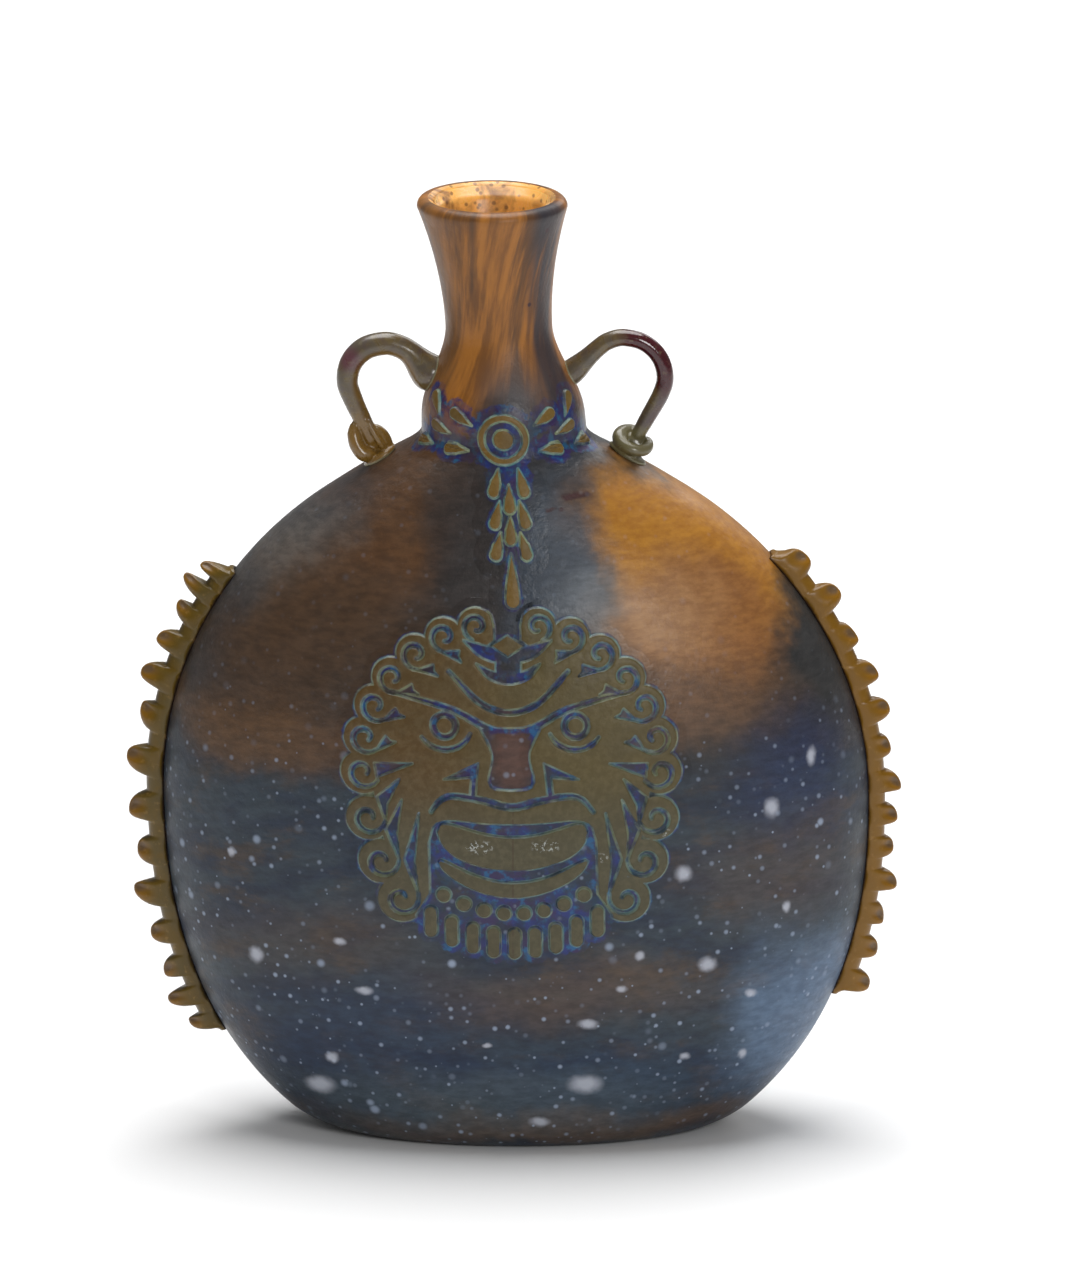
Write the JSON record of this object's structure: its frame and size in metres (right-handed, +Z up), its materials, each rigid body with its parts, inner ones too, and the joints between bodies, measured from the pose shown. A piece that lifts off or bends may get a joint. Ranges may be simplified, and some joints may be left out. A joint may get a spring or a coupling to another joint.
{
  "type": "two-handled vase",
  "caption": "Pressed pilgrim-flask vase in satin cameo glass with flared neck, drawn rod handles, crimped side crests and a relief mask, garland and pendant.",
  "frame": {"origin": "middle of the flat foot, on the surface that the vase stands on", "axes": "+Z up, the mask on the front looks towards -Y, +X is the viewer's right from the front"},
  "size_m": [0.1963, 0.0856, 0.24],
  "materials": {
    "body_glass": "satin acid-etched glass, slate blue and charcoal clouded with amber and brown, pale specks inside",
    "handle_glass_olive": "soft gloss drawn rod, olive grey-brown",
    "handle_glass_ruby": "gloss drawn rod, olive grey-brown running into dark ruby on the bend",
    "crest_glass": "semi-gloss mustard and ochre trail, pinched",
    "cameo_overlay": "satin olive overlay, edges enamelled turquoise over cobalt"
  },
  "bodies": {
    "root": {"body": "body_glass", "crest_left": "crest_glass", "crest_right": "crest_glass", "garland_petal_left_1": "cameo_overlay", "garland_petal_left_2": "cameo_overlay", "garland_petal_left_3": "cameo_overlay", "garland_petal_left_4": "cameo_overlay", "garland_petal_left_5": "cameo_overlay", "garland_petal_right_1": "cameo_overlay", "garland_petal_right_2": "cameo_overlay", "garland_petal_right_3": "cameo_overlay", "garland_petal_right_4": "cameo_overlay", "garland_petal_right_5": "cameo_overlay", "handle_left": "handle_glass_olive", "handle_right": "handle_glass_ruby", "mask_bead_1": "cameo_overlay", "mask_bead_2": "cameo_overlay", "mask_bead_3": "cameo_overlay", "mask_bead_4": "cameo_overlay", "mask_bead_5": "cameo_overlay", "mask_bead_6": "cameo_overlay", "mask_bead_7": "cameo_overlay", "mask_bead_8": "cameo_overlay", "mask_field": "cameo_overlay", "mask_forehead_diamond": "cameo_overlay", "mask_lower_lip": "cameo_overlay", "mask_pupil_left": "cameo_overlay", "mask_pupil_right": "cameo_overlay", "mask_tab_1": "cameo_overlay", "mask_tab_2": "cameo_overlay", "mask_tab_3": "cameo_overlay", "mask_tab_4": "cameo_overlay", "mask_tab_5": "cameo_overlay", "mask_tab_6": "cameo_overlay", "mask_tab_7": "cameo_overlay", "mask_tab_8": "cameo_overlay", "mask_tab_9": "cameo_overlay", "mask_tongue": "cameo_overlay", "pendant_drop": "cameo_overlay", "pendant_petal_left_1": "cameo_overlay", "pendant_petal_left_2": "cameo_overlay", "pendant_petal_left_3": "cameo_overlay", "pendant_petal_middle_1": "cameo_overlay", "pendant_petal_middle_2": "cameo_overlay", "pendant_petal_right_1": "cameo_overlay", "pendant_petal_right_2": "cameo_overlay", "pendant_petal_right_3": "cameo_overlay", "rosette_boss": "cameo_overlay", "rosette_ring": "cameo_overlay"}
  },
  "joints": []
}
